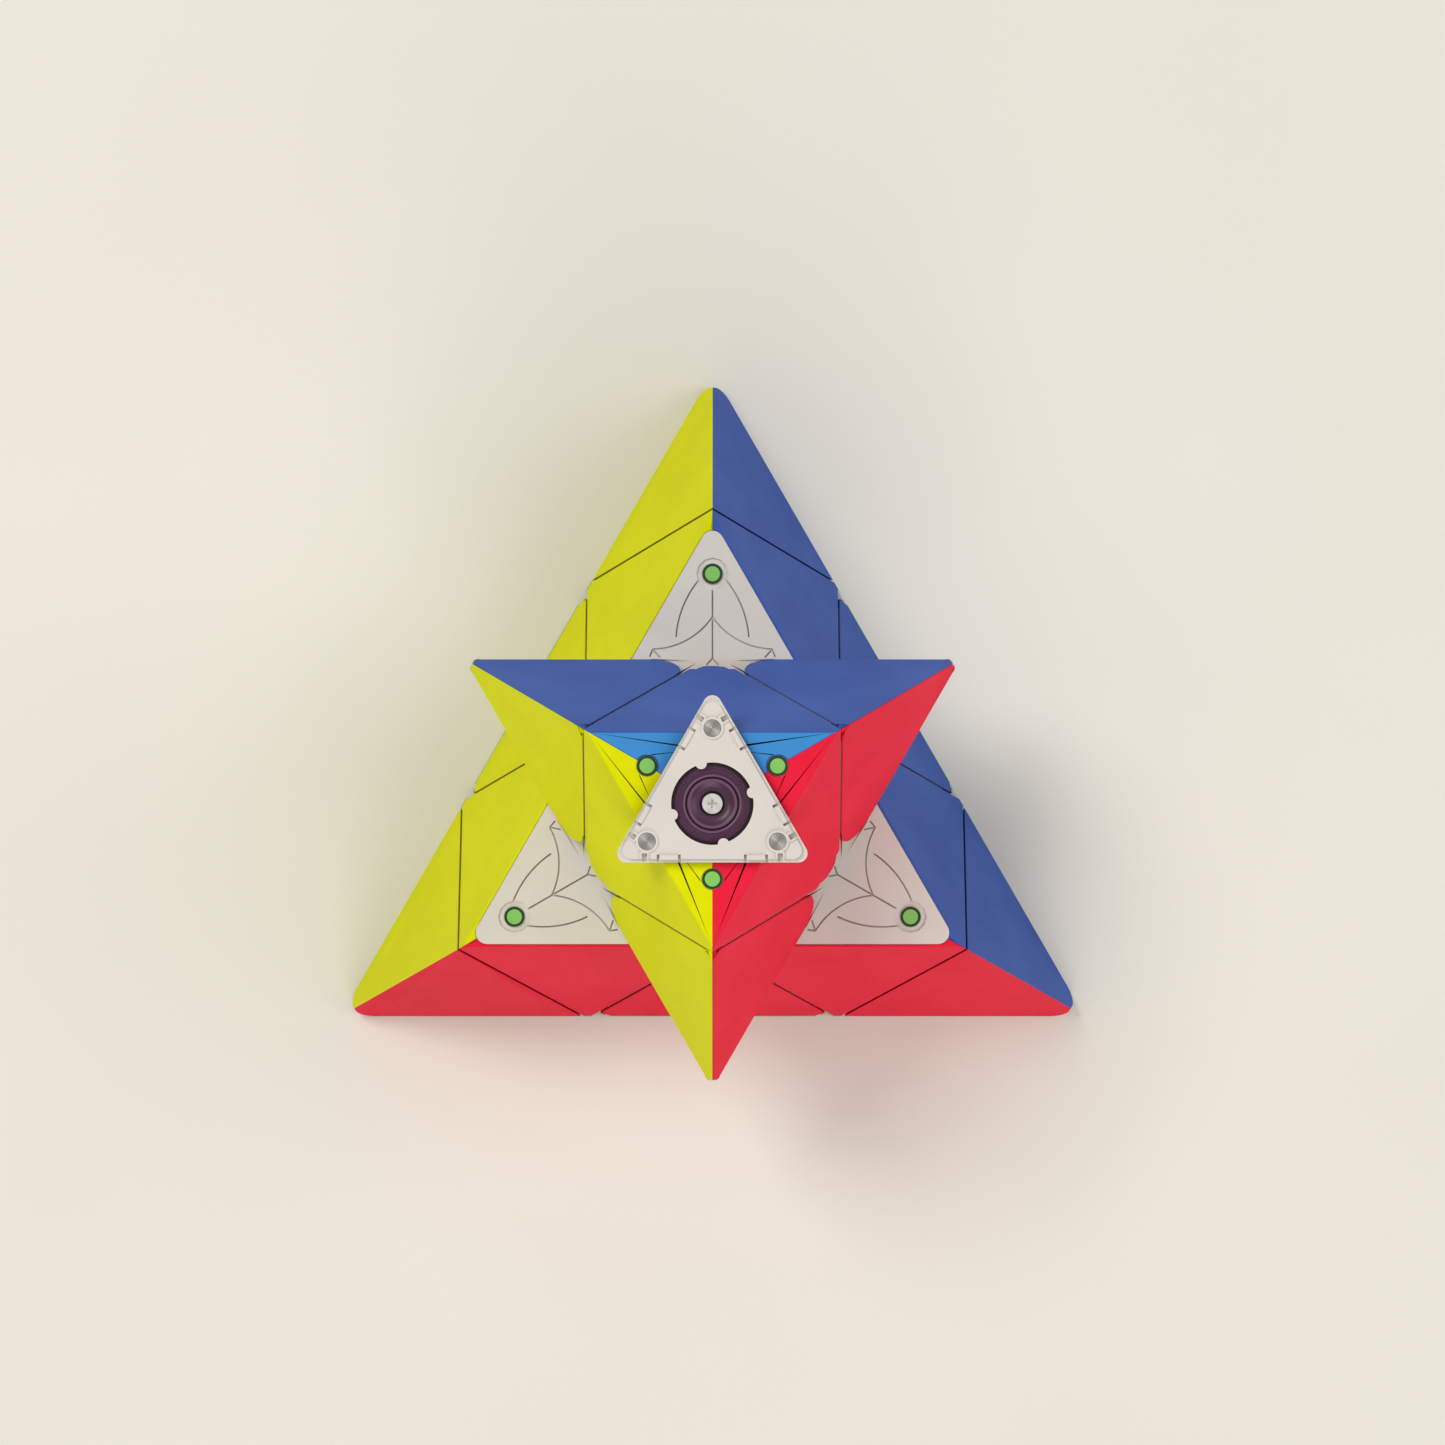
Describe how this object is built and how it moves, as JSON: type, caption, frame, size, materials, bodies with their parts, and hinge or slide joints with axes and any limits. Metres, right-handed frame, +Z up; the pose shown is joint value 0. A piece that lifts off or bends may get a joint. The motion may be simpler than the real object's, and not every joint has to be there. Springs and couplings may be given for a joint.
{
  "type": "pyramid twisty puzzle",
  "caption": "Tetrahedral twisty puzzle with turning corner layers, turning tips, magnets and a tension dial under each tip cap, shown with its top layer half turned",
  "frame": {"origin": "centre of the green face that the puzzle stands on", "axes": "+Z up through the top corner, +Y toward the back corner, +X to the right"},
  "size_m": [0.0978, 0.0933, 0.0578],
  "materials": {
    "blue": "fine matt coloured plastic",
    "yellow": "fine matt coloured plastic",
    "red": "fine matt coloured plastic",
    "green": "fine matt coloured plastic",
    "white": "smooth off-white plastic",
    "core": "dark grey plastic",
    "dial": "dark purple plastic",
    "metal": "plain steel",
    "green_magnet": "magnet with a green face",
    "magnet": "nickel-plated magnet"
  },
  "bodies": {
    "base": {"core": "core", "axle_screws": "metal", "tension_springs": "metal", "spring_washers": "metal", "axial_back": "white", "axial_left": "white", "axial_right": "white", "axial_back_shell_blue": "blue", "axial_back_shell_yellow": "yellow", "axial_left_shell_yellow": "yellow", "axial_left_shell_red": "red", "axial_right_shell_blue": "blue", "axial_right_shell_red": "red", "axial_shells_green": "green", "edge_back_left": "white", "edge_back_right": "white", "edge_left_right": "white", "edge_back_left_shell_yellow": "yellow", "edge_back_right_shell_blue": "blue", "edge_left_right_shell_red": "red", "edge_shells_green": "green", "magnets_base_axials": "green_magnet", "magnets_base_edges": "magnet"},
    "top_layer": {"axial_top": "white", "axial_top_shell_blue": "blue", "axial_top_shell_yellow": "yellow", "axial_top_shell_red": "red", "edge_top_back": "white", "edge_top_left": "white", "edge_top_right": "white", "edge_top_back_shell_blue": "blue", "edge_top_back_shell_yellow": "yellow", "edge_top_left_shell_yellow": "yellow", "edge_top_left_shell_red": "red", "edge_top_right_shell_blue": "blue", "edge_top_right_shell_red": "red", "magnets_top_axial": "green_magnet", "magnets_top_edges": "magnet"},
    "tip_top": {"tip_plate_top": "white", "magnets_tip_top": "magnet"},
    "dial_set_top": {"dial_top": "dial"},
    "tip_back": {"tip_plate_back": "white", "magnets_tip_back": "magnet"},
    "cap_back": {"cap_back_blue": "blue", "cap_back_yellow": "yellow", "cap_back_green": "green"},
    "dial_set_back": {"dial_back": "dial"},
    "tip_left": {"tip_plate_left": "white", "magnets_tip_left": "magnet"},
    "cap_left": {"cap_left_yellow": "yellow", "cap_left_red": "red", "cap_left_green": "green"},
    "dial_set_left": {"dial_left": "dial"},
    "tip_right": {"tip_plate_right": "white", "magnets_tip_right": "magnet"},
    "cap_right": {"cap_right_blue": "blue", "cap_right_red": "red", "cap_right_green": "green"},
    "dial_set_right": {"dial_right": "dial"}
  },
  "joints": [
    {"name": "top_layer_turn", "type": "hinge", "parent": "base", "child": "top_layer", "pos_m": [0, 0, 0.02062], "axis": [0, 0, 1], "continuous": true},
    {"name": "tip_top_turn", "type": "hinge", "parent": "top_layer", "child": "tip_top", "pos_m": [0, 0, 0.02062], "axis": [0, 0, 1], "continuous": true},
    {"name": "dial_top_turn", "type": "hinge", "parent": "top_layer", "child": "dial_set_top", "pos_m": [0, 0, 0.02062], "axis": [0, 0, 1], "range_deg": [0, 342]},
    {"name": "tip_back_turn", "type": "hinge", "parent": "base", "child": "tip_back", "pos_m": [0, 0, 0.02062], "axis": [0, 0.9428, -0.3333], "continuous": true},
    {"name": "cap_back_pull", "type": "slide", "parent": "tip_back", "child": "cap_back", "axis": [0, 0.9428, -0.3333], "range_m": [0, 0.03]},
    {"name": "dial_back_turn", "type": "hinge", "parent": "base", "child": "dial_set_back", "pos_m": [0, 0, 0.02062], "axis": [0, 0.9428, -0.3333], "range_deg": [0, 342]},
    {"name": "tip_left_turn", "type": "hinge", "parent": "base", "child": "tip_left", "pos_m": [0, 0, 0.02062], "axis": [-0.8165, -0.4714, -0.3333], "continuous": true},
    {"name": "cap_left_pull", "type": "slide", "parent": "tip_left", "child": "cap_left", "axis": [-0.8165, -0.4714, -0.3333], "range_m": [0, 0.03]},
    {"name": "dial_left_turn", "type": "hinge", "parent": "base", "child": "dial_set_left", "pos_m": [0, 0, 0.02062], "axis": [-0.8165, -0.4714, -0.3333], "range_deg": [0, 342]},
    {"name": "tip_right_turn", "type": "hinge", "parent": "base", "child": "tip_right", "pos_m": [0, 0, 0.02062], "axis": [0.8165, -0.4714, -0.3333], "continuous": true},
    {"name": "cap_right_pull", "type": "slide", "parent": "tip_right", "child": "cap_right", "axis": [0.8165, -0.4714, -0.3333], "range_m": [0, 0.03]},
    {"name": "dial_right_turn", "type": "hinge", "parent": "base", "child": "dial_set_right", "pos_m": [0, 0, 0.02062], "axis": [0.8165, -0.4714, -0.3333], "range_deg": [0, 342]}
  ]
}
